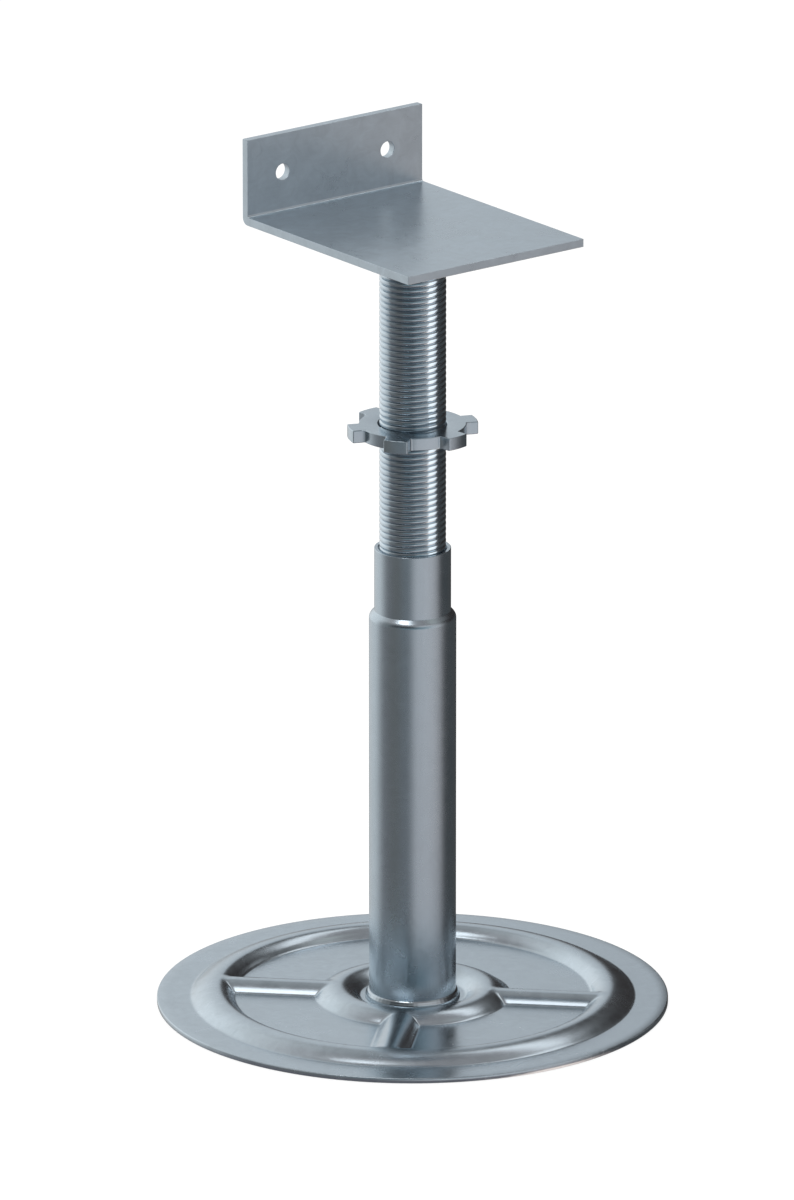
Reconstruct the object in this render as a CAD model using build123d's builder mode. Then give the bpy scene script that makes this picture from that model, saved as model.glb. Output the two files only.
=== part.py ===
from build123d import *
from math import cos, radians, sin, sqrt
import os

# Screw-adjusted pedestal for a deck joist, in zinc-coated steel, millimetres.
# Frame: origin at the centre of the base plate's underside, +Z up the spindle,
# the head bracket's upright flange on the +Y side.

# Spindle, its thread drawn as its outside cylinder
spindle_diameter = 26.0
spindle_wall = 3.0
spindle_length = 198.0
spindle_end_chamfer = 1.5
exposed_thread = 125.9
thread_clearance = 0.05

# Outer tube, swaged to a neck at its top
neck_wall = 1.9
neck_length = 25.25
neck_mouth_chamfer = 0.3
shoulder_step = 2.05
shoulder_height = 2.0
shoulder_round = 3.0
tube_wall = 2.0
tube_length = 183.5

# Base plate, one round pressing. The rim bead is set in from the plate's edge by the
# rim land, the hub bead out from the weld by the hub land.
base_diameter = 200.0
base_sheet = 2.0
base_edge_round = 0.4
drain_hole_diameter = 20.0
bead_height = 3.9
rim_land = 13.5
rim_bead_outer_run = 9.7
rim_bead_inner_run = 6.8
hub_land = 2.4
hub_bead_inner_run = 8.3
hub_bead_outer_run = 8.7
spoke_count = 4
spoke_start_angle = 45.0
spoke_width = 15.0
spoke_crest_drop = 0.15
bead_foot_round = 0.6
bead_mouth_round = 1.2

# Lock nut
nut_thickness = 5.05
nut_ring_width = 7.85
nut_lug_count = 6
nut_lug_width = 9.6
nut_lug_reach = 4.55
nut_lug_angle = 37.0
nut_edge_chamfer = 0.3
nut_mouth_chamfer = 0.5
nut_height_over_neck = 45.3

# Head bracket, one folded sheet
bracket_sheet = 3.25
bracket_width = 85.2
bracket_depth = 105.0
bracket_flange_height = 34.3
bracket_bend_radius = 1.0
bracket_bend_outside = 2.8
screw_hole_diameter = 6.6
screw_hole_spacing = 51.0
screw_hole_height = 15.5

# Weld beads
foot_weld_leg = 1.6
foot_weld_height = 2.9
head_weld_leg = 3.0

# How far a selected edge or corner may lie from the place it is looked for
selection_slack = 0.01

# Heights that follow from the stack of pieces
base_top = base_sheet
tube_top = base_top + tube_length
neck_bottom = tube_top - neck_length
shoulder_bottom = neck_bottom - shoulder_height
nut_bottom = tube_top + nut_height_over_neck
head_underside = tube_top + exposed_thread
seat_height = head_underside + bracket_sheet
spindle_bottom = head_underside - spindle_length

# Radii that follow from the thread outwards
spindle_radius = spindle_diameter / 2
thread_bore_radius = spindle_radius + thread_clearance
nut_ring_radius = thread_bore_radius + nut_ring_width
nut_lug_radius = nut_ring_radius + nut_lug_reach
neck_radius = thread_bore_radius + neck_wall
tube_radius = neck_radius + shoulder_step
tube_bore_radius = tube_radius - tube_wall
foot_weld_radius = tube_radius + foot_weld_leg
base_radius = base_diameter / 2

# Each ring bead as its inner foot, crest and outer foot
hub_bead_inner_radius = foot_weld_radius + hub_land
hub_bead_crest_radius = hub_bead_inner_radius + hub_bead_inner_run
hub_bead = (hub_bead_inner_radius, hub_bead_crest_radius, hub_bead_crest_radius + hub_bead_outer_run)
rim_bead_outer_radius = base_radius - rim_land
rim_bead_crest_radius = rim_bead_outer_radius - rim_bead_outer_run
rim_bead = (rim_bead_crest_radius - rim_bead_inner_run, rim_bead_crest_radius, rim_bead_outer_radius)
spoke_bead_height = bead_height - spoke_crest_drop


def bead_radius(run, height):
    """Radius of the arc that is level at a bead's crest and drops to its foot."""
    return (run**2 + height**2) / (2 * height)


def hollow_run(run, height):
    """Half width at the underside of the hollow that runs one sheet below a bead."""
    inside_radius = bead_radius(run, height) - base_sheet
    return sqrt(height * (2 * inside_radius - height))


def ring_bead_arcs(inner, crest, outer, foot_z, height):
    """Both flanks of a ring bead, drawn from its crest."""
    TangentArc((crest, foot_z + height), (inner, foot_z), tangent=(-1, 0))
    TangentArc((crest, foot_z + height), (outer, foot_z), tangent=(1, 0))


def ring_hollow(inner, crest, outer):
    """Section of the hollow under a ring bead."""
    hollow_inner = crest - hollow_run(crest - inner, bead_height)
    hollow_outer = crest + hollow_run(outer - crest, bead_height)
    with BuildSketch(Plane.XZ) as section:
        with BuildLine():
            ring_bead_arcs(hollow_inner, crest, hollow_outer, 0, bead_height)
            Polyline(
                (hollow_inner, 0), (hollow_inner, -base_sheet), (hollow_outer, -base_sheet), (hollow_outer, 0)
            )
        make_face()
    return section.sketch


def spoke_section(plane, half_width, foot_z, below):
    """Section across a spoke bead or its hollow, with a skirt below its feet."""
    with BuildSketch(plane) as section:
        with BuildLine():
            ThreePointArc((-half_width, foot_z), (0, foot_z + spoke_bead_height), (half_width, foot_z))
            Polyline((half_width, foot_z), (half_width, below), (-half_width, below), (-half_width, foot_z))
        make_face()
    return section.sketch


spoke_half_width = spoke_width / 2
spoke_hollow_half_width = hollow_run(spoke_half_width, spoke_bead_height)
spoke_length = rim_bead_crest_radius - hub_bead_crest_radius
spoke_planes = []
for spoke in range(spoke_count):
    spoke_angle = radians(spoke_start_angle + spoke * 360 / spoke_count)
    outwards = Vector(cos(spoke_angle), sin(spoke_angle), 0)
    across = Vector(-sin(spoke_angle), cos(spoke_angle), 0)
    spoke_planes.append(Plane(origin=outwards * hub_bead_crest_radius, x_dir=across, z_dir=outwards))

# The pressing: a flat disc with a rim bead and a hub bead joined by four spoke beads,
# hollow below so that the sheet keeps its thickness.
with BuildPart() as base_plate:
    with BuildSketch(Plane.XZ):
        with BuildLine():
            Polyline((0, base_top), (0, 0), (base_radius, 0), (base_radius, base_top))
            Line((base_radius, base_top), (rim_bead[-1], base_top))
            ring_bead_arcs(*rim_bead, base_top, bead_height)
            Line((rim_bead[0], base_top), (hub_bead[-1], base_top))
            ring_bead_arcs(*hub_bead, base_top, bead_height)
            Line((hub_bead[0], base_top), (0, base_top))
        make_face()
    revolve(axis=Axis.Z)
    for plane in spoke_planes:
        extrude(spoke_section(plane, spoke_half_width, base_top, base_top / 2), amount=spoke_length)
    feet_and_valleys = base_plate.edges().filter_by(
        lambda edge: edge.bounding_box().min.Z > base_top - selection_slack
        and edge.bounding_box().max.Z < base_top + bead_height - selection_slack
        and edge.bounding_box().max.X < base_radius - selection_slack
    )
    fillet(feet_and_valleys, bead_foot_round)
    top_rim = base_plate.edges().filter_by(GeomType.CIRCLE).filter_by(
        lambda edge: abs(edge.radius - base_radius) < selection_slack and edge.center().Z > base_top / 2
    )
    fillet(top_rim, base_edge_round)

    revolve(ring_hollow(*rim_bead), axis=Axis.Z, mode=Mode.SUBTRACT)
    revolve(ring_hollow(*hub_bead), axis=Axis.Z, mode=Mode.SUBTRACT)
    for plane in spoke_planes:
        hollow_section = spoke_section(plane, spoke_hollow_half_width, 0, -base_sheet)
        extrude(hollow_section, amount=spoke_length, mode=Mode.SUBTRACT)
    hollow_mouths = base_plate.edges().filter_by(
        lambda edge: edge.bounding_box().max.Z < selection_slack
        and edge.bounding_box().max.X < base_radius - selection_slack
    )
    fillet(hollow_mouths, bead_mouth_round)
    Hole(drain_hole_diameter / 2)
base_plate.part.label = "base_plate"

# Drawn tube, swaged down over its top to the neck that carries the inside thread.
with BuildPart() as outer_tube:
    with BuildSketch(Plane.XZ):
        with BuildLine():
            Polyline(
                (tube_bore_radius, base_top),
                (tube_radius, base_top),
                (tube_radius, shoulder_bottom),
                (neck_radius, neck_bottom),
                (neck_radius, tube_top),
                (thread_bore_radius, tube_top),
                (thread_bore_radius, neck_bottom - tube_wall / 2),
                (tube_bore_radius, shoulder_bottom - tube_wall / 2),
                close=True,
            )
        make_face()
        shoulder_corner = vertices().filter_by_position(
            Axis.Y, shoulder_bottom - selection_slack, shoulder_bottom + selection_slack
        ).sort_by(Axis.X)[-1]
        fillet(shoulder_corner, shoulder_round)
        mouth_corner = vertices().group_by(Axis.Y)[-1].sort_by(Axis.X)[-1]
        chamfer(mouth_corner, neck_mouth_chamfer)
    revolve(axis=Axis.Z)
outer_tube.part.label = "outer_tube"

# Weld bead round the foot of the tube.
with BuildPart() as foot_weld:
    with BuildSketch(Plane.XZ):
        with BuildLine():
            Polyline(
                (tube_radius, base_top + foot_weld_height),
                (tube_radius, base_top),
                (foot_weld_radius, base_top),
            )
            RadiusArc(
                (foot_weld_radius, base_top),
                (tube_radius, base_top + foot_weld_height),
                -foot_weld_height,
            )
        make_face()
    revolve(axis=Axis.Z)
foot_weld.part.label = "foot_weld"

# Threaded steel tube that screws in the neck and carries the head.
with BuildPart() as threaded_spindle:
    with BuildSketch(Plane.XY.offset(spindle_bottom)):
        Circle(spindle_radius)
        Circle(spindle_radius - spindle_wall, mode=Mode.SUBTRACT)
    extrude(amount=spindle_length)
    lower_rim = threaded_spindle.edges().group_by(Axis.Z)[0].sort_by(SortBy.LENGTH)[-1]
    chamfer(lower_rim, spindle_end_chamfer)
threaded_spindle.part.label = "threaded_spindle"

# Ring nut with parallel-sided lugs, turned by hand against the neck to lock the spindle.
with BuildPart() as lock_nut:
    with BuildSketch(Plane.XY.offset(nut_bottom)):
        with PolarLocations(nut_lug_radius / 2, nut_lug_count, start_angle=nut_lug_angle):
            Rectangle(nut_lug_radius + nut_lug_width, nut_lug_width)
        Circle(nut_lug_radius, mode=Mode.INTERSECT)
        Circle(nut_ring_radius)
    extrude(amount=nut_thickness)
    chamfer(lock_nut.faces().filter_by(Axis.Z).edges(), nut_edge_chamfer)
    with Locations(Plane.XY.offset(nut_bottom + nut_thickness)):
        Hole(thread_bore_radius)
    nut_mouths = lock_nut.edges().filter_by(GeomType.CIRCLE).filter_by(
        lambda edge: abs(edge.radius - thread_bore_radius) < selection_slack
    )
    chamfer(nut_mouths, nut_mouth_chamfer)
lock_nut.part.label = "lock_nut"

# Folded angle: a plate for the joist to stand on and a flange for it to be screwed to.
flange_back = bracket_depth / 2
flange_front = flange_back - bracket_sheet
flange_top = head_underside + bracket_flange_height
hole_centre = (0, flange_back, seat_height + screw_hole_height)
with BuildPart() as head_bracket:
    with BuildSketch(Plane.YZ):
        with BuildLine():
            Polyline(
                (-bracket_depth / 2, head_underside),
                (flange_back, head_underside),
                (flange_back, flange_top),
                (flange_front, flange_top),
                (flange_front, seat_height),
                (-bracket_depth / 2, seat_height),
                close=True,
            )
        make_face()
        bend_outside = vertices().group_by(Axis.X)[-1].sort_by(Axis.Y)[0]
        fillet(bend_outside, bracket_bend_outside)
        bend_inside = vertices().filter_by_position(
            Axis.X, flange_front - selection_slack, flange_front + selection_slack
        ).sort_by(Axis.Y)[0]
        fillet(bend_inside, bracket_bend_radius)
    extrude(amount=bracket_width / 2, both=True)
    with Locations(Plane(origin=hole_centre, x_dir=(1, 0, 0), z_dir=(0, 1, 0))):
        with GridLocations(screw_hole_spacing, 0, 2, 1):
            Hole(screw_hole_diameter / 2, depth=bracket_sheet)
head_bracket.part.label = "head_bracket"

# Weld bead between the spindle's top and the bracket's underside.
with BuildPart() as head_weld:
    with BuildSketch(Plane.XZ):
        with BuildLine():
            Polyline(
                (spindle_radius, head_underside - head_weld_leg),
                (spindle_radius, head_underside),
                (spindle_radius + head_weld_leg, head_underside),
                close=True,
            )
        make_face()
    revolve(axis=Axis.Z)
head_weld.part.label = "head_weld"

os.makedirs("parts", exist_ok=True)
for piece in (base_plate, outer_tube, foot_weld, threaded_spindle, lock_nut, head_bracket, head_weld):
    export_step(piece.part, f"parts/{piece.part.label}.step")
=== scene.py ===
from math import asin, atan, cos, hypot, pi, radians, sin

import bmesh
import bpy
from mathutils import Matrix, Vector


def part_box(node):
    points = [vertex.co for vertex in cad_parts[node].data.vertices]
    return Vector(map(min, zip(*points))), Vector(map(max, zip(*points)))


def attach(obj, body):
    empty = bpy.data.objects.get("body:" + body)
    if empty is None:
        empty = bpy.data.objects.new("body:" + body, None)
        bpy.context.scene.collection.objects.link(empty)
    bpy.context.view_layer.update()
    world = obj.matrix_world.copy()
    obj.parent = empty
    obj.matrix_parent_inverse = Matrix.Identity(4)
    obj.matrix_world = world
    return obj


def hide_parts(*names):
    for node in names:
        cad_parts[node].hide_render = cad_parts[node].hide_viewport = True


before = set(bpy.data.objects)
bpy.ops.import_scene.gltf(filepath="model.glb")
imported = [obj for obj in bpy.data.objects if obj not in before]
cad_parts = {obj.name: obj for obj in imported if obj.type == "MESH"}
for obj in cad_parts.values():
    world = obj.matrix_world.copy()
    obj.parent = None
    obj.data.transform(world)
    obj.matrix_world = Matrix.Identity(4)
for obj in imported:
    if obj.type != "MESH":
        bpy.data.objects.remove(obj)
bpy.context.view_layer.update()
bpy.context.scene.view_settings.view_transform = "Standard"


# Base plate: a disc of 2 mm steel sheet, pressed in one stroke. A hub bead and a rim bead,
# joined by four spoke beads, stiffen it, and the sheet keeps its thickness under them.
# It is punched for drainage in the middle, and zinc coated after welding.

class Wire:
    """A value in a node tree: sums on it add Math nodes, and add() puts in any other node."""

    def __init__(self, tree, output=None):
        self.tree = tree
        self.output = output

    def add(self, kind, settings=None, inputs=None, output=0):
        """A new node: first its settings, then the value or link of each socket."""
        node = self.tree.nodes.new(kind)
        for name, value in (settings or {}).items():
            setattr(node, name, value)
        for name, value in (inputs or {}).items():
            if isinstance(value, Wire):
                self.tree.links.new(value.output, node.inputs[name])
            else:
                node.inputs[name].default_value = value
        return Wire(self.tree, node.outputs[output])

    def other(self, output):
        """Another output of the same node."""
        return Wire(self.tree, self.output.node.outputs[output])

    def math(self, operation, *values):
        return self.add("ShaderNodeMath", {"operation": operation}, dict(enumerate(values)))

    def through(self, operation, *values):
        """This value put through a Math operation, with the other values that it takes."""
        return self.math(operation, self, *values)

    def __add__(self, value):
        return self.through("ADD", value)

    def __sub__(self, value):
        return self.through("SUBTRACT", value)

    def __rsub__(self, value):
        return self.math("SUBTRACT", value, self)

    def __mul__(self, value):
        return self.through("MULTIPLY", value)

    def __truediv__(self, value):
        return self.through("DIVIDE", value)

    def __rtruediv__(self, value):
        return self.math("DIVIDE", value, self)

    __radd__ = __add__
    __rmul__ = __mul__

    def at_least(self, value):
        return self.through("MAXIMUM", value)

    def at_most(self, value):
        return self.through("MINIMUM", value)

    def over(self, value):
        """1 where this is greater than the value, else 0."""
        return self.through("GREATER_THAN", value)

    def under(self, value):
        """1 where this is less than the value, else 0."""
        return self.through("LESS_THAN", value)


def forming_rule(name, sizes):
    """A Geometry Nodes tree that takes a mesh and one named number for each size."""
    tree = bpy.data.node_groups.new(name, "GeometryNodeTree")
    tree.interface.new_socket("Geometry", in_out="INPUT", socket_type="NodeSocketGeometry")
    for size in sizes:
        tree.interface.new_socket(size, in_out="INPUT", socket_type="NodeSocketFloat")
    tree.interface.new_socket("Geometry", in_out="OUTPUT", socket_type="NodeSocketGeometry")
    entry = tree.nodes.new("NodeGroupInput")
    return {output.name: Wire(tree, output) for output in entry.outputs if output.name}


def close_rule(geometry, material):
    """Ends a tree: real geometry, its finish, and the way out."""
    real = geometry.add("GeometryNodeRealizeInstances", inputs={"Geometry": geometry})
    coated = real.add("GeometryNodeSetMaterial", inputs={"Geometry": real, "Material": material})
    exit_node = coated.tree.nodes.new("NodeGroupOutput")
    coated.tree.links.new(coated.output, exit_node.inputs[0])
    return coated.tree


def give_rule(piece, tree, sizes):
    """Puts the tree on the piece and sets its sizes by their sockets' identifiers."""
    modifier = piece.modifiers.new(tree.name, "NODES")
    modifier.node_group = tree
    for socket in tree.interface.items_tree:
        if socket.in_out == "INPUT" and socket.name in sizes:
            modifier[socket.identifier] = sizes[socket.name]


def finished(piece):
    """Turns the piece and its modifiers into one plain smooth-shaded mesh."""
    evaluated = piece.evaluated_get(bpy.context.evaluated_depsgraph_get())
    mesh = bpy.data.meshes.new_from_object(evaluated)
    piece.modifiers.clear()
    piece.data = mesh
    mesh.shade_smooth()
    return piece


def place(piece, body, slot, *nodes):
    """The piece moves with a body and stands for its CAD nodes, which it hides; slot, the name of its
    finish, is not used.
    """
    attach(piece, body)
    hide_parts(*nodes)


def piece_from(name, shape):
    """A new piece with the shape as its mesh."""
    mesh = bpy.data.meshes.new(name)
    shape.to_mesh(mesh)
    shape.free()
    piece = bpy.data.objects.new(name, mesh)
    bpy.context.collection.objects.link(piece)
    return piece


def neighbours(ring):
    """Each item of a ring with the next one, and the last with the first."""
    return list(zip(ring, ring[1:] + ring[:1]))


def ring_from(name, rows):
    """A closed ring from rows of points, each row going once round the axis."""
    shape = bmesh.new()
    rings = [[shape.verts.new(point) for point in row] for row in rows]
    for ring, following in neighbours(rings):
        for side, next_side in zip(neighbours(ring), neighbours(following)):
            shape.faces.new((*side, *reversed(next_side)))
    bmesh.ops.recalc_face_normals(shape, faces=shape.faces)
    return piece_from(name, shape)


def turned(name, section, directions):
    """A closed ring: each (radius, height) of the section is carried round the axis."""
    return ring_from(name, [
        [(radius * cos(turn), radius * sin(turn), height) for turn in directions(radius)]
        for radius, height in section
    ])


def spaced(start, end, step):
    """Even steps from start up to, but not including, end."""
    count = max(1, round(abs(end - start) / step))
    return [start + (end - start) * number / count for number in range(count)]


def zinc(name, tint, roughness, grain, mottle=1.0):
    """Zinc coating on steel: a bluish metal, softly clouded and mottled.

    grain is the size in metres of a mark left by rolling or drawing, along X, Y and Z.
    """
    cloud_size, fibre_size, wave_size, wave_depth = 0.024, 0.0065, 0.007, 0.00004
    material = bpy.data.materials.new(name)
    material.use_nodes = True
    tree = material.node_tree
    shader = tree.nodes["Principled BSDF"]
    shader.inputs["Metallic"].default_value = 1.0
    here = Wire(tree).add("ShaderNodeTexCoord", output="Object")

    def marks(size, detail, distortion=0.0):
        """Noise about 0 whose marks have the given size along X, Y and Z."""
        spread = here.add(
            "ShaderNodeMapping", inputs={"Vector": here, "Scale": [1 / length for length in size]}
        )
        sizes = {"Vector": spread, "Scale": 1.0, "Detail": detail, "Distortion": distortion}
        return here.add("ShaderNodeTexNoise", inputs=sizes) - 0.5

    clouds = marks([cloud_size] * 3, detail=2.0, distortion=0.4)
    fibres = marks([fibre_size] * 3, detail=3.0, distortion=1.2)
    lines = marks(grain, detail=1.0)
    waves = marks([wave_size] * 3, detail=0.0)
    shade = 1.0 + (clouds * 0.22 + fibres * 0.34) * mottle + lines * 0.06
    colour = here.add("ShaderNodeVectorMath", {"operation": "SCALE"}, {0: tint, "Scale": shade})
    tree.links.new(colour.output, shader.inputs["Base Color"])
    rough = roughness + (clouds * 0.10 + fibres * 0.12) * mottle
    tree.links.new(rough.output, shader.inputs["Roughness"])
    bump = here.add("ShaderNodeBump", inputs={"Strength": 0.5, "Distance": wave_depth, "Height": waves})
    tree.links.new(bump.output, shader.inputs["Normal"])
    return material


plate_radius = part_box("base_plate")[1].x
sheet = 0.002
edge_round = 0.0004
edge_break = 0.00015
drain_radius = 0.010
hub = {"crest": 0.0293, "inner": 0.0083, "outer": 0.0087}
rim = {"crest": 0.0768, "inner": 0.0068, "outer": 0.0097}
hub_foot = (0.0195, 0.0392)
rim_foot = (0.0690, 0.0876)
spoke_count = 4
spoke_start = radians(45)
spoke_half_width = 0.0075
half_sector = pi / spoke_count
calm_radius = hub["crest"] - hub["inner"]


def plate_directions(radius):
    """Directions round the plate, with lines that run beside each spoke bead.

    Inside the hub bead they run straight to the middle.
    """
    lane_half_width, lane_step, field_lines = 0.0093, 0.0006, 20
    reach = max(radius, calm_radius)
    lane = [asin(across / reach) for across in spaced(0, lane_half_width, lane_step)]
    lane.append(asin(lane_half_width / reach))
    field = half_sector - lane[-1]
    half = lane + [lane[-1] + field * number / field_lines for number in range(1, field_lines + 1)]
    sector = [-turn for turn in reversed(half[1:-1])] + half
    return [
        spoke_start + spoke * 2 * half_sector + turn for spoke in range(spoke_count) for turn in sector
    ]


def plate_section():
    """The flat blank's section, finer where the press will bend it."""
    fine, plain, wide = 0.0005, 0.001, 0.004
    edge = plate_radius - edge_round
    stretches = (
        (drain_radius, hub_foot[0], 0.003), (*hub_foot, fine), (hub_foot[1], rim_foot[0], plain),
        (*rim_foot, fine), (rim_foot[1], edge, wide),
    )
    top = [(radius, sheet) for start, end, step in stretches for radius in spaced(start, end, step)]
    corner = [
        (edge + edge_round * sin(turn), sheet - edge_round + edge_round * cos(turn))
        for turn in (radians(90 * step / 4) for step in range(5))
    ]
    corner += [(plate_radius, edge_break), (plate_radius - edge_break, 0.0)]
    last_row = plate_radius - 0.002
    underside = [
        (radius, 0.0)
        for start, end, step in reversed(stretches)
        for radius in spaced(min(end, last_row), start, step * 2)
    ]
    return top + corner + underside + [(drain_radius, 0.0)]


press_sizes = {
    "Sheet": sheet, "Bead Height": 0.0039, "Foot Round": 0.001,
    "Hub Crest": hub["crest"], "Hub Inner Run": hub["inner"], "Hub Outer Run": hub["outer"],
    "Rim Crest": rim["crest"], "Rim Inner Run": rim["inner"], "Rim Outer Run": rim["outer"],
    "Spokes": float(spoke_count), "Spoke Start": spoke_start, "Spoke Half Width": spoke_half_width,
    "Spoke Height": 0.00375,
}


def press_tool(material):
    """The press: lifts each point of the flat blank by the beads over it."""
    size = forming_rule("press_tool", press_sizes)
    blank = size["Geometry"]
    here = blank.add("GeometryNodeInputPosition")
    x = here.add("ShaderNodeSeparateXYZ", inputs={0: here})
    y, z = x.other(1), x.other(2)
    radius = (x * x + y * y).through("SQRT")
    below = z.under(size["Sheet"] * 0.4)
    depth = size["Sheet"] * below

    def arc(offset, run, height):
        """A bead's rise over the flat sheet, or that of the hollow below it."""
        inside = (run * run + height * height) / (height * 2) - depth
        return height - inside + (inside * inside - offset * offset).at_least(0).through("SQRT")

    def ring(name):
        offset = radius - size[name + " Crest"]
        inner, outer = size[name + " Inner Run"], size[name + " Outer Run"]
        return arc(offset, inner + (outer - inner) * offset.over(0), size["Bead Height"])

    sector = 2 * pi / size["Spokes"]
    turn = (y.through("ARCTAN2", x) - size["Spoke Start"]).through("WRAP", sector / 2, sector / -2)
    across, along = radius * turn.through("SINE"), radius * turn.through("COSINE")
    fall = 3.0
    beyond = (along - size["Rim Crest"]).at_least(0) + (size["Hub Crest"] - along).at_least(0)
    spoke = arc(across, size["Spoke Half Width"], size["Spoke Height"]) - beyond * fall
    lift = ring("Rim").at_least(ring("Hub"))
    lift = lift.through("SMOOTH_MAX", spoke, size["Foot Round"])
    lift = lift.through("SMOOTH_MAX", 0.0, size["Foot Round"]).at_most(size["Bead Height"])
    offset = lift.add("ShaderNodeCombineXYZ", inputs={"Z": lift})
    pressed = blank.add("GeometryNodeSetPosition", inputs={"Geometry": blank, "Offset": offset})
    return close_rule(pressed, material)


plate_zinc = zinc("plate_zinc", (0.51, 0.59, 0.65), 0.25, (0.0012, 0.0012, 0.0012), mottle=0.8)
base_plate = turned("pressed_base_plate", plate_section(), plate_directions)
give_rule(base_plate, press_tool(plate_zinc), press_sizes)
place(finished(base_plate), "foot", "plate_zinc", "base_plate")


# Outer tube: drawn steel tube of 34 mm, swaged down over its top 25 mm to a neck that is
# threaded inside. It stands on the plate and is welded to it all round.

def round_directions(count):
    """Even directions round the axis."""
    return lambda radius: [2 * pi * number / count for number in range(count)]


def rounded(corners, rounds, steps):
    """A closed section whose corners are rounded, each by its own radius."""
    section = []
    count = len(corners)
    for number, (corner, radius) in enumerate(zip(corners, rounds)):
        here = Vector(corner)
        before = (Vector(corners[number - 1]) - here).normalized()
        after = (Vector(corners[(number + 1) % count]) - here).normalized()
        if radius == 0:
            section.append(tuple(here))
            continue
        half = before.angle(after) / 2
        run = radius / abs(sin(half) / cos(half))
        centre = here + (before + after).normalized() * (radius / sin(half))
        start, end = here + before * run - centre, here + after * run - centre
        for step in range(steps + 1):
            section.append(tuple(centre + start.lerp(end, step / steps).normalized() * radius))
    return section


tube_low, tube_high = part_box("outer_tube")
tube_radius = tube_high.x
tube_bore = 0.015
neck_radius = 0.01495
neck_bore = 0.01305
neck_length = 0.02525
shoulder_height = 0.002
neck_foot = tube_high.z - neck_length
shoulder_foot = neck_foot - shoulder_height
mouth_sink = 0.0005
wall_lag = 0.001
tube_corners = (
    # radius and height of each corner of the wall, and the radius that rounds it
    (tube_bore, tube_low.z, 0), (tube_radius, tube_low.z, 0), (tube_radius, shoulder_foot, 0.003),
    (neck_radius, neck_foot, 0.0003), (neck_radius, tube_high.z, 0.00025),
    (neck_bore + mouth_sink, tube_high.z, 0.0001), (neck_bore, tube_high.z - mouth_sink, 0.0001),
    (neck_bore, neck_foot - wall_lag, 0.0003), (tube_bore, shoulder_foot - wall_lag, 0.0003),
)
tube_section = rounded(
    [(radius, height) for radius, height, rounding in tube_corners],
    [rounding for radius, height, rounding in tube_corners], steps=6,
)
zinc_tint = (0.485, 0.565, 0.625)
tube_zinc = zinc("tube_zinc", zinc_tint, 0.27, (0.0009, 0.0009, 0.012), mottle=0.5)
outer_tube = turned("swaged_outer_tube", tube_section, round_directions(128))
outer_tube.data.materials.append(tube_zinc)


def flat_faced(piece):
    """Weighs the normals by area, so that flat faces stay flat beside their rounded edges."""
    modifier = piece.modifiers.new("flat_faces", "WEIGHTED_NORMAL")
    modifier.weight = 100
    piece.data.shade_smooth()
    return finished(piece)


place(flat_faced(outer_tube), "foot", "tube_zinc", "outer_tube")


# Foot weld: one run of weld bead round the tube's foot, rippled by the torch's steps.
# Its two legs lie on the plate and on the tube, and its face bulges a little between them.

foot_weld_sizes = {
    "Seam Radius": tube_radius, "Seam Height": tube_low.z, "Reach": 0.0016, "Rise": 0.0029,
    "Ripples": 60.0, "Ripple Depth": 0.00001, "Lag": 2.2,
}
weld_tuck = 0.0001


def weld_run(name, sizes, material):
    """The torch's run: ripples the bead's face, and leaves its two feet on their pieces."""
    size = forming_rule(name, sizes)
    bead = size["Geometry"]
    here = bead.add("GeometryNodeInputPosition")
    x = here.add("ShaderNodeSeparateXYZ", inputs={0: here})
    y, z = x.other(1), x.other(2)
    radius = (x * x + y * y).through("SQRT")
    turn = y.through("ARCTAN2", x)
    out = (radius - size["Seam Radius"]) / size["Reach"]
    up = ((z - size["Seam Height"]) / size["Rise"]).through("ABSOLUTE")
    on_face = (out * 4.0 * up).at_most(1.0).at_least(0.0)
    phase = turn * size["Ripples"] + on_face * size["Lag"]
    ripple = phase.through("SINE") * size["Ripple Depth"] * on_face
    noise = here.add("ShaderNodeTexNoise", inputs={"Vector": here, "Scale": 200.0, "Detail": 0.0})
    uneven = (noise - 0.5) * size["Ripple Depth"] * 2.0 * on_face
    swell = (ripple + uneven - size["Ripple Depth"]) / radius
    offset = here.add("ShaderNodeCombineXYZ", inputs={"X": x * swell, "Y": y * swell, "Z": ripple * 0.6})
    laid = bead.add("GeometryNodeSetPosition", inputs={"Geometry": bead, "Offset": offset})
    return close_rule(laid, material)


def weld_section(sizes, bulge, steps=10):
    """The bead's section: a face that bulges between its feet, and a back behind the joint."""
    seam_radius, seam_height = sizes["Seam Radius"], sizes["Seam Height"]
    reach, rise = sizes["Reach"], sizes["Rise"]
    face = []
    for step in range(steps + 1):
        turn = pi / 2 * step / steps
        fill = bulge + (1 - bulge) * abs(cos(2 * turn))
        face.append((seam_radius + reach * cos(turn) * fill, seam_height + rise * sin(turn) * fill))
    back = seam_radius - weld_tuck
    return [(back, seam_height)] + face + [(back, seam_height + rise)]


def laid_weld(name, sizes, bulge, facets):
    """A whole weld bead, coated with its neighbours."""
    bead = turned(name, weld_section(sizes, bulge), round_directions(facets))
    give_rule(bead, weld_run(name + "_run", sizes, weld_zinc), sizes)
    return finished(bead)


weld_zinc = zinc("weld_zinc", (0.47, 0.54, 0.59), 0.15, (0.0006, 0.0006, 0.0006), mottle=0.5)
foot_weld = laid_weld("foot_weld_bead", foot_weld_sizes, bulge=0.9, facets=444)
place(foot_weld, "foot", "weld_zinc", "foot_weld")


# Spindle: a steel tube with a rolled right-hand thread over its whole length. It screws in
# the neck, and its top is welded under the bracket. The rolling leaves rounded crests.

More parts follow.
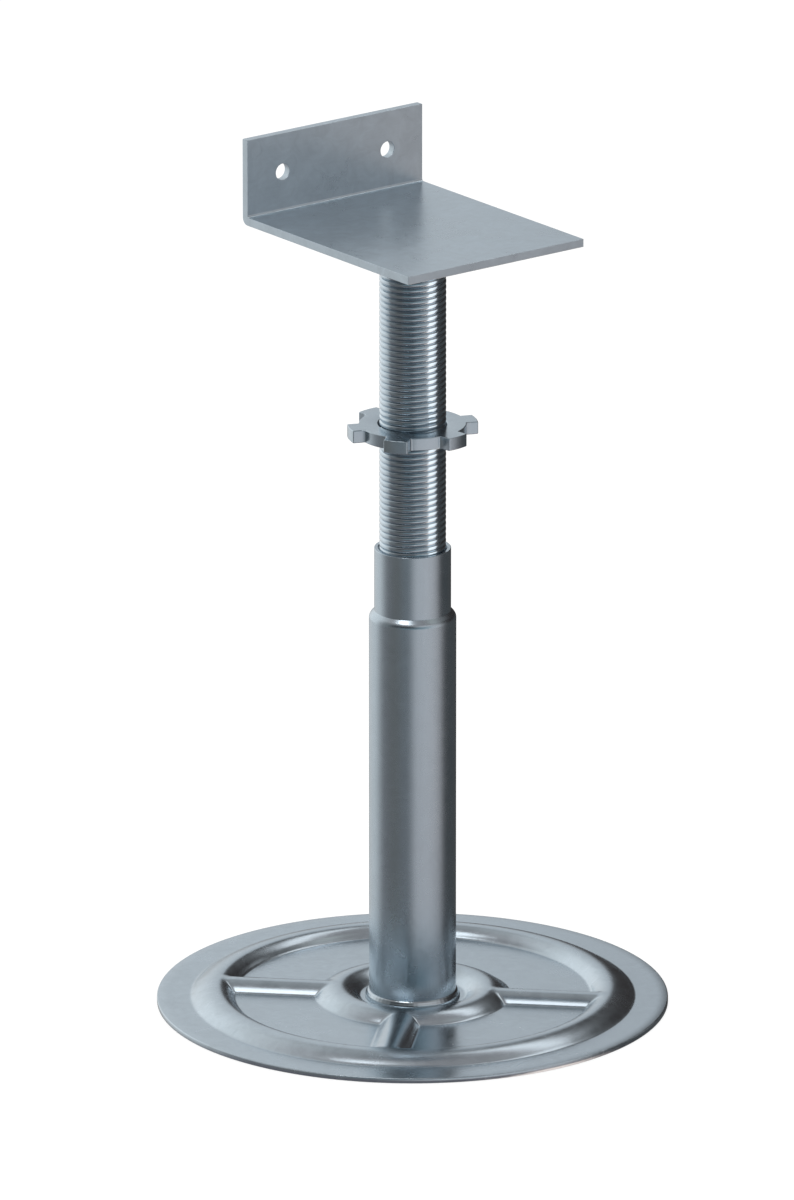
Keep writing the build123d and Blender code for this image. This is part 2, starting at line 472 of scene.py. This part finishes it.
spindle_low, spindle_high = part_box("threaded_spindle")
crest_radius = spindle_high.x
spindle_wall = 0.003
thread_pitch = 0.00233
rows_in_pitch = 8
thread_columns = 81
thread_turns = (spindle_high.z - spindle_low.z) / thread_pitch
spare_rows = 5
thread_sizes = {
    "Crest Radius": crest_radius, "Bore Radius": crest_radius - spindle_wall, "Bulge": 0.00025,
    "Root Depth": 0.0004, "Root Start": 0.7, "Pitch": thread_pitch,
    "Bottom": spindle_low.z, "Top": spindle_high.z, "Lead-in": 0.0015, "Start Angle": radians(77),
    "Columns": float(thread_columns), "Rows in Pitch": float(rows_in_pitch),
    "Rows": float(int((thread_turns + 1) * rows_in_pitch) + spare_rows),
}


def rolled_thread(material):
    """A tube whose outside follows a helix: the rows of a grid climb one pitch in a turn.

    The first two rows and the last one line the bore, and merging closes the grid's edges.
    """
    size = forming_rule("rolled_thread", thread_sizes)
    grid = size["Geometry"].add(
        "GeometryNodeMeshGrid",
        inputs={"Vertices X": size["Rows"].through("ROUND"), "Vertices Y": size["Columns"]},
    )
    index = grid.add("GeometryNodeInputIndex")
    row = (index / size["Columns"]).through("FLOOR")
    column = index - row * size["Columns"]
    turn = column / (size["Columns"] - 1.0)
    height = size["Bottom"] + size["Pitch"] * ((row - 2.0) / size["Rows in Pitch"] + turn - 1.0)
    height = height.at_least(size["Bottom"]).at_most(size["Top"])
    place_in_pitch = ((height - size["Bottom"]) / size["Pitch"] - turn).through("FRACT")
    from_crest = (place_in_pitch * 2.0 - 1.0).through("ABSOLUTE")
    in_root = ((from_crest - size["Root Start"]) / (1.0 - size["Root Start"])).at_least(0)
    outside = size["Crest Radius"] - size["Bulge"] * from_crest * from_crest
    outside = outside - size["Root Depth"] * in_root
    outside = outside.at_most(size["Crest Radius"] - size["Lead-in"] + height - size["Bottom"])
    in_bore = row.under(1.5).at_least(row.over(size["Rows"] - 1.5))
    radius = outside + (size["Bore Radius"] - outside) * in_bore
    height = height + (size["Top"] - height) * row.under(0.5)
    angle = turn * (2 * pi) + size["Start Angle"]
    x, y = radius * angle.through("COSINE"), radius * angle.through("SINE")
    spot = grid.add("ShaderNodeCombineXYZ", inputs={"X": x, "Y": y, "Z": height})
    wound = grid.add("GeometryNodeSetPosition", inputs={"Geometry": grid, "Position": spot})
    joined = wound.add("GeometryNodeMergeByDistance", inputs={"Geometry": wound, "Distance": 0.00001})
    return close_rule(joined, material)


def closed_outwards(piece, crease):
    """Turns every face outwards and marks the edges sharper than the crease, in degrees."""
    shape = bmesh.new()
    shape.from_mesh(piece.data)
    bmesh.ops.recalc_face_normals(shape, faces=shape.faces)
    shape.to_mesh(piece.data)
    shape.free()
    piece.data.set_sharp_from_angle(angle=radians(crease))


spindle_zinc = zinc("spindle_zinc", (0.455, 0.53, 0.585), 0.17, (0.003, 0.003, 0.0006), mottle=0.3)
spindle = piece_from("threaded_spindle_tube", bmesh.new())
give_rule(spindle, rolled_thread(spindle_zinc), thread_sizes)
closed_outwards(finished(spindle), crease=35)
place(spindle, "spindle", "spindle_zinc", "threaded_spindle")


# Lock nut: cut from 5 mm steel, a ring with six straight-sided lugs for a hand or a bar.
# It is run down the thread against the neck, and its mouths are countersunk.

nut_low, nut_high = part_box("lock_nut")
lug_radius = 0.02545
ring_radius = 0.0209
lug_half_width = 0.0048
lug_count = 6
lug_start = radians(37)
nut_bore = neck_bore
nut_sink = 0.0008
nut_edge = 0.00034
lug_corner = 0.00042
least_corner = 0.00002


def nut_outline(inset):
    """The lugged outline, taken in by the inset; the same number of points for any inset."""
    tip_steps, corner_steps, ring_steps = 5, 3, 8
    lug, ring, half = lug_radius - inset, ring_radius - inset, lug_half_width - inset
    corner = max(lug_corner - inset, least_corner)
    end = asin((half - corner) / (lug - corner))
    tip = [end * step / tip_steps for step in range(tip_steps + 1)]
    points = [(lug * cos(turn), lug * sin(turn)) for turn in tip]
    centre = ((lug - corner) * cos(end), (lug - corner) * sin(end))
    turns = [end + (pi / 2 - end) * step / corner_steps for step in range(1, corner_steps + 1)]
    points += [(centre[0] + corner * cos(turn), centre[1] + corner * sin(turn)) for turn in turns]
    root = asin(half / ring)
    points.append(((centre[0] + ring * cos(root)) / 2, half))
    middle = pi / lug_count
    gap = [root + (middle - root) * step / ring_steps for step in range(ring_steps + 1)]
    points += [(ring * cos(turn), ring * sin(turn)) for turn in gap]
    whole_lug = [(x, -y) for x, y in reversed(points[1:-1])] + points
    outline = []
    for number in range(lug_count):
        turn = lug_start + 2 * middle * number
        outline += [(x * cos(turn) - y * sin(turn), x * sin(turn) + y * cos(turn)) for x, y in whole_lug]
    return outline


def nut_rows():
    """The nut's rows of points: over its top edge, down its side, and back up its bore."""
    def side_row(inset, height):
        return [(x, y, height) for x, y in nut_outline(inset)]

    def bore_row(radius, height):
        return [
            (radius * x / hypot(x, y), radius * y / hypot(x, y), height) for x, y in nut_outline(0)
        ]

    quarter = (0, pi / 6, pi / 3, pi / 2)
    edge = [(nut_edge * (1 - sin(turn)), nut_edge * (1 - cos(turn))) for turn in quarter]
    rows = [side_row(inset, nut_high.z - drop) for inset, drop in edge]
    rows += [side_row(inset, nut_low.z + drop) for inset, drop in reversed(edge)]
    rows += [
        bore_row(nut_bore + nut_sink, nut_low.z), bore_row(nut_bore, nut_low.z + nut_sink),
        bore_row(nut_bore, nut_high.z - nut_sink), bore_row(nut_bore + nut_sink, nut_high.z),
    ]
    return rows


nut_zinc = zinc("nut_zinc", zinc_tint, 0.24, (0.0009, 0.0009, 0.004), mottle=0.6)
lock_nut = ring_from("lugged_lock_nut", nut_rows())
lock_nut.data.materials.append(nut_zinc)
place(flat_faced(lock_nut), "nut", "nut_zinc", "lock_nut")


# Head bracket: a rectangle of 3.25 mm sheet, drilled for two screws while it is flat and
# then folded up along one side. The joist stands on it and is screwed to the flange.

bracket_low, bracket_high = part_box("head_bracket")
bracket_sheet = 0.00325
bend_radius = 0.001
bend_outside = 0.0028
hole_radius = 0.0033
hole_spacing = 0.051
hole_height = 0.0155
hole_facets = 48
hole_collar = 0.0015
sheared_edge = 0.00018
seat_height = bracket_low.z + bracket_sheet
flange_face = bracket_high.y - bracket_sheet
bend_start = flange_face - bend_radius
bend_run = bend_radius * pi / 2
fold_sizes = {
    "Bend Start": bend_start, "Bend Run": bend_run, "Bend Radius": bend_radius,
    "Seat Height": seat_height, "Gauge": bracket_sheet, "Outside Radius": bend_outside,
}


def fold(material):
    """Folds the flat blank up: along Y up to the bend, round it, and on upwards.

    The punch thins the corner: its outside is an arc of its own, between two flat stretches.
    """
    size = forming_rule("fold", fold_sizes)
    blank = size["Geometry"]
    here = blank.add("GeometryNodeInputPosition")
    x = here.add("ShaderNodeSeparateXYZ", inputs={0: here})
    y, z = x.other(1), x.other(2)
    past = (y - size["Bend Start"]).at_least(0)
    turn = (past / size["Bend Run"]).at_most(1.0) * (pi / 2)
    beyond = (past - size["Bend Run"]).at_least(0)
    across, along = turn.through("SINE"), turn.through("COSINE")
    greater, lesser = across.at_least(along), across.at_most(along)
    full = size["Bend Radius"] + size["Gauge"]
    set_in = full - size["Outside Radius"]
    middle = set_in * (across + along)
    chord = middle * middle - set_in * set_in * 2.0 + size["Outside Radius"] * size["Outside Radius"]
    on_arc = (lesser * full).over(greater * set_in)
    flat_reach = full / greater
    reach = flat_reach + (middle + chord.through("SQRT") - flat_reach) * on_arc
    depth = (size["Seat Height"] - z) / size["Gauge"]
    radius = size["Bend Radius"] + (reach - size["Bend Radius"]) * depth
    folded_y = y.at_most(size["Bend Start"]) + radius * across
    folded_z = size["Seat Height"] + size["Bend Radius"] - radius * along + beyond
    spot = here.add("ShaderNodeCombineXYZ", inputs={"X": x, "Y": folded_y, "Z": folded_z})
    folded = blank.add("GeometryNodeSetPosition", inputs={"Geometry": blank, "Position": spot})
    return close_rule(folded, material)


def bend_turns():
    """The turns at which the blank has a row: close round the bend, and where its outside changes."""
    full = bend_radius + bracket_sheet
    arc_start = atan((full - bend_outside) / full)
    arc_end = pi / 2 - arc_start
    inner_turns = spaced(arc_start, arc_end, radians(7.5))
    return [0, arc_start / 2, *inner_turns, arc_end, pi / 2 - arc_start / 2, pi / 2]


def flat_blank(name):
    """The seat side of the unfolded sheet: rows of faces, and a flange with two holes."""
    shape = bmesh.new()
    half = bracket_high.x
    bend_end = bend_start + bend_run
    flange_end = bend_end + bracket_high.z - seat_height - bend_radius
    hole_y = bend_end + hole_height - bend_radius

    def circle(middle, radius):
        turns = [2 * pi * step / hole_facets for step in range(hole_facets)]
        return [
            shape.verts.new((middle + radius * cos(turn), hole_y + radius * sin(turn), seat_height))
            for turn in turns
        ]

    rows = [bracket_low.y] + [bend_start + bend_radius * turn for turn in bend_turns()]
    pairs = [[shape.verts.new((side, y, seat_height)) for side in (-half, half)] for y in rows]
    for (left, right), (next_left, next_right) in zip(pairs, pairs[1:]):
        shape.faces.new((left, right, next_right, next_left))
    far = [shape.verts.new((side, flange_end, seat_height)) for side in (half, -half)]
    border = [*pairs[-1], *far]
    edges = [shape.edges.get(pair) or shape.edges.new(pair) for pair in neighbours(border)]
    for side in (-1, 1):
        middle = side * hole_spacing / 2
        hole, collar = circle(middle, hole_radius), circle(middle, hole_radius + hole_collar)
        for (inner, next_inner), (outer, next_outer) in zip(neighbours(hole), neighbours(collar)):
            shape.faces.new((inner, outer, next_outer, next_inner))
        edges += [shape.edges.get(pair) for pair in neighbours(collar)]
    bmesh.ops.triangle_fill(shape, use_beauty=True, edges=edges, normal=(0, 0, 1))
    bmesh.ops.recalc_face_normals(shape, faces=shape.faces)
    if shape.faces[0].normal.z < 0:
        bmesh.ops.reverse_faces(shape, faces=shape.faces)
    return piece_from(name, shape)


bracket_zinc = zinc("bracket_zinc", (0.545, 0.63, 0.693), 0.3, (0.006, 0.0009, 0.0009))
bracket = flat_blank("folded_head_bracket")
gauge = bracket.modifiers.new("gauge", "SOLIDIFY")
gauge.thickness = bracket_sheet
gauge.offset = -1.0
shearing = bracket.modifiers.new("shearing", "BEVEL")
shearing.width = sheared_edge
shearing.segments = 3
shearing.limit_method = "ANGLE"
shearing.angle_limit = radians(60)
shearing.use_clamp_overlap = False
give_rule(bracket, fold(bracket_zinc), fold_sizes)
place(flat_faced(bracket), "spindle", "bracket_zinc", "head_bracket")


# Head weld: the bead that holds the spindle's top to the bracket's underside, laid upwards.
# Its legs are equal, and its ripples are coarser than those of the foot weld.

head_weld_leg = 0.003
head_weld_sizes = {
    "Seam Radius": crest_radius, "Seam Height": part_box("head_weld")[1].z,
    "Reach": head_weld_leg, "Rise": -head_weld_leg,
    "Ripples": 46.0, "Ripple Depth": 0.00012, "Lag": foot_weld_sizes["Lag"],
}
head_weld = laid_weld("head_weld_bead", head_weld_sizes, bulge=0.85, facets=322)
place(head_weld, "spindle", "weld_zinc", "head_weld")


# Camera: a long lens in front and to the left, looking a little down.
# Its distance matters little, because the lens makes the view almost parallel.

camera_azimuth = radians(-37.505)
camera_elevation = radians(17.61)
camera_distance = 6.4
aim_aside = -0.006067
aim_height = 0.1639
upright = Vector((0, 0, 1))
right = Vector((cos(camera_azimuth), sin(camera_azimuth), 0))
away = Vector((-sin(camera_azimuth), cos(camera_azimuth), 0))
towards = -away * cos(camera_elevation) + upright * sin(camera_elevation)
camera = bpy.data.objects.new("camera", bpy.data.cameras.new("camera"))
camera.data.lens = 494.35
camera.data.clip_end = 50
camera.location = right * aim_aside + upright * aim_height + towards * camera_distance
camera.rotation_euler = towards.to_track_quat("Z", "Y").to_euler()
bpy.context.collection.objects.link(camera)
bpy.context.scene.camera = camera


# Studio: a pale floor in a white surround, and a large grey tent whose inside the metal mirrors,
# with soft lights and dark screens in it. Lamps add to that, each for some of the pieces, because
# a smooth thread, a bend and a pressed bead each need another width of light.

tent_radius = 3.0
tent_shape = bmesh.new()
bmesh.ops.create_uvsphere(tent_shape, u_segments=96, v_segments=48, radius=tent_radius)
tent = piece_from("tent", tent_shape)
tent.data.shade_smooth()
tent.location.z = aim_height

tent_grey = 0.27
hangings = {
    # degrees to the right of the camera's side and of height, half width and half height,
    # softness across and up, and light; later ones hang in front of those before them
    "front_right_light": (43.0, -11.1, 43.1, 41.0, 30, 48, (1.412, 1.322, 1.314)),
    "front_floor": (-23, -47.0, 174, 27.6, 68, 40, (0.176, 0.166, 0.18)),
    "front_screen": (0.3, 6.7, 53.9, 18.3, 72, 9, (0.231, 0.327, 0.364)),
    "right_floor_light": (85.2, -62.2, 24.6, 28.6, 3, 9, (1.69, 1.33, 1.16)),
    "top_cloth": (10, 75.0, 155, 31.4, 38, 9.6, (0.352, 0.328, 0.327)),
    "dark_screen": (159.5, 5.8, 84.4, 31.6, 86, 28, (0.040, 0.034, 0.033)),
    "high_right_light": (82.4, 54.2, 7.7, 9.3, 34, 18, (0.845, 0.882, 0.833)),
    "back_left_light": (-153.8, 19.7, 32.1, 17.2, 2.4, 7.7, (0.601, 0.625, 0.65)),
    "left_light": (-133.3, 11.3, 35.4, 38.5, 45, 60, (1.098, 1.102, 1.096)),
    "low_front_screen": (-49.3, -3.9, 15.7, 26.8, 19, 36, (0.198, 0.196, 0.19)),
    "dark_front_screen": (-25, 20, 35, 15, 20, 12, (0.06, 0.065, 0.07)),
    "side_cloth": (125, -22, 30, 22, 30, 20, (0.085, 0.088, 0.09)),
}


def tent_light():
    """The tent's inside: every light or screen is laid over those before it, with soft edges."""
    material = bpy.data.materials.new("tent_cloth")
    material.use_nodes = True
    tree = material.node_tree
    tree.nodes.remove(tree.nodes["Principled BSDF"])
    here = Wire(tree).add("ShaderNodeTexCoord", output="Object")

    def along(direction):
        return here.add(
            "ShaderNodeVectorMath", {"operation": "DOT_PRODUCT"}, {0: here, 1: direction}, output="Value"
        )

    turn = along(right).through("ARCTAN2", along(-away)) * (180 / pi)
    height = (along(upright) / tent_radius).through("ARCSINE") * (180 / pi)

    def within(distance, half, soft):
        """1 inside the half width, falling softly to 0 about its edge."""
        edges = {"From Min": half - soft / 2, "From Max": half + soft / 2, "To Min": 1.0, "To Max": 0.0}
        return distance.add(
            "ShaderNodeMapRange", {"interpolation_type": "SMOOTHSTEP"}, {"Value": distance, **edges}
        )

    cloth = here.add("ShaderNodeRGB")
    cloth.output.default_value = (tent_grey, tent_grey, tent_grey, 1)
    for at_turn, at_height, half_width, half_height, soft, soft_up, light in hangings.values():
        aside = (turn - at_turn).through("WRAP", 180.0, -180.0).through("ABSOLUTE")
        above = (height - at_height).through("ABSOLUTE")
        cover = within(aside, half_width, soft) * within(above, half_height, soft_up)
        cloth = here.add(
            "ShaderNodeMix", {"data_type": "RGBA"}, {0: cover, 6: cloth, 7: (*light, 1)}, output=2
        )
    glow = here.add("ShaderNodeEmission", inputs={"Color": cloth, "Strength": 1.0})
    tree.links.new(glow.output, tree.nodes["Material Output"].inputs["Surface"])
    return material


tent.data.materials.append(tent_light())
tent.visible_camera = tent.visible_diffuse = tent.visible_shadow = False


def soft_box(name, turn, height, roll, distance, level, length, width, energy):
    """A rectangular lamp that faces the axis at a level over the floor.

    It hangs by degrees to the right of the camera's side and of height. Its long side lies
    level at roll 0, and stands upright at 90.
    """
    turn, height, roll = radians(turn), radians(height), radians(roll)
    level_way = right * sin(turn) - away * cos(turn)
    heading = level_way * cos(height) + upright * sin(height)
    aside = upright.cross(heading).normalized()
    lengthways = aside * cos(roll) + heading.cross(aside) * sin(roll)
    box = bpy.data.objects.new(name, bpy.data.lights.new(name, "AREA"))
    box.data.shape = "RECTANGLE"
    box.data.size, box.data.size_y = length, width
    box.data.energy = energy
    box.matrix_world = Matrix((lengthways, heading.cross(lengthways), heading)).transposed().to_4x4()
    box.matrix_world.translation = heading * distance + upright * level
    box.visible_camera = False
    bpy.context.collection.objects.link(box)
    return box


def reaches(lamp, link_state, pieces):
    """Flags on the lamp keep its light off these pieces (EXCLUDE) or off all others (INCLUDE)."""
    flags = bpy.data.collections.new(lamp.name + "_flags")
    for piece in pieces:
        flags.objects.link(piece)
    for flag in flags.collection_objects:
        flag.light_linking.link_state = link_state
    lamp.light_linking.receiver_collection = flags


lamps = {
    # reach and pieces, then turn, height, roll, distance, level, length, width and energy
    "overhead_lamp": ("EXCLUDE", (spindle, base_plate), -40, 67, -20, 2.0, aim_height, 0.9, 0.5, 5.5),
    "plate_lamp": ("INCLUDE", (base_plate,), -40, 67, -20, 2.0, aim_height, 1.1, 0.7, 5.0),
    "right_strip": ("INCLUDE", (spindle,), 71, 0, 90, 0.3, 0.168, 0.33, 0.175, 0.24),
    "left_strip": ("INCLUDE", (spindle,), -128, 0, 90, 0.3, 0.168, 0.33, 0.5, 0.115),
    "bend_strip": ("INCLUDE", (bracket,), 140, 54, 90, 1.5, 0.31, 0.2, 0.9, 1.2),
    "rim_strip": ("INCLUDE", (base_plate,), 140, 54, 90, 2.6, 0, 0.55, 1.6, 3.4),
    "back_right_cloth": ("INCLUDE", (bracket,), 127.5, 0, 90, 0.7, 0.31, 0.6, 0.5, 0.35),
    "far_right_cloth": ("INCLUDE", (base_plate,), 121, 16, 90, 2.6, 0, 1.3, 0.9, 1.4),
    "front_left_cloth": ("INCLUDE", (bracket, base_plate), -52.5, 0, 90, 0.7, 0.31, 0.6, 0.7, 0.5),
}
for name, (link_state, pieces, *setting) in lamps.items():
    reaches(soft_box(name, *setting), link_state, pieces)

surround_light = 0.9
world = bpy.data.worlds.new("white_surround")
bpy.context.scene.world = world
world.use_nodes = True
seen = Wire(world.node_tree).add("ShaderNodeLightPath", output="Is Camera Ray")
seen = seen.at_least(seen.other("Is Glossy Ray")).at_least(seen.other("Is Transmission Ray"))
light_level = seen + surround_light * (1 - seen)
background = world.node_tree.nodes["Background"]
world.node_tree.links.new(light_level.output, background.inputs["Strength"])
background.inputs["Color"].default_value = (1, 1, 1, 1)

floor_half = 12.0
floor_level = -0.0002
floor_grey = 0.3
floor_glow = 0.78
floor_mesh = bpy.data.meshes.new("floor")
floor_mesh.from_pydata(
    [(floor_half * x, floor_half * y, floor_level) for x, y in ((-1, -1), (1, -1), (1, 1), (-1, 1))],
    [], [(0, 1, 2, 3)],
)
floor = bpy.data.objects.new("floor", floor_mesh)
bpy.context.collection.objects.link(floor)
floor_paint = bpy.data.materials.new("floor_paint")
floor_paint.use_nodes = True
paint = floor_paint.node_tree.nodes["Principled BSDF"]
paint.inputs["Base Color"].default_value = (floor_grey, floor_grey, floor_grey, 1)
paint.inputs["Roughness"].default_value = 1.0
paint.inputs["Specular IOR Level"].default_value = 0.0
paint.inputs["Emission Color"].default_value = (1, 1, 1, 1)
paint.inputs["Emission Strength"].default_value = floor_glow
floor.data.materials.append(floor_paint)
floor.visible_glossy = False
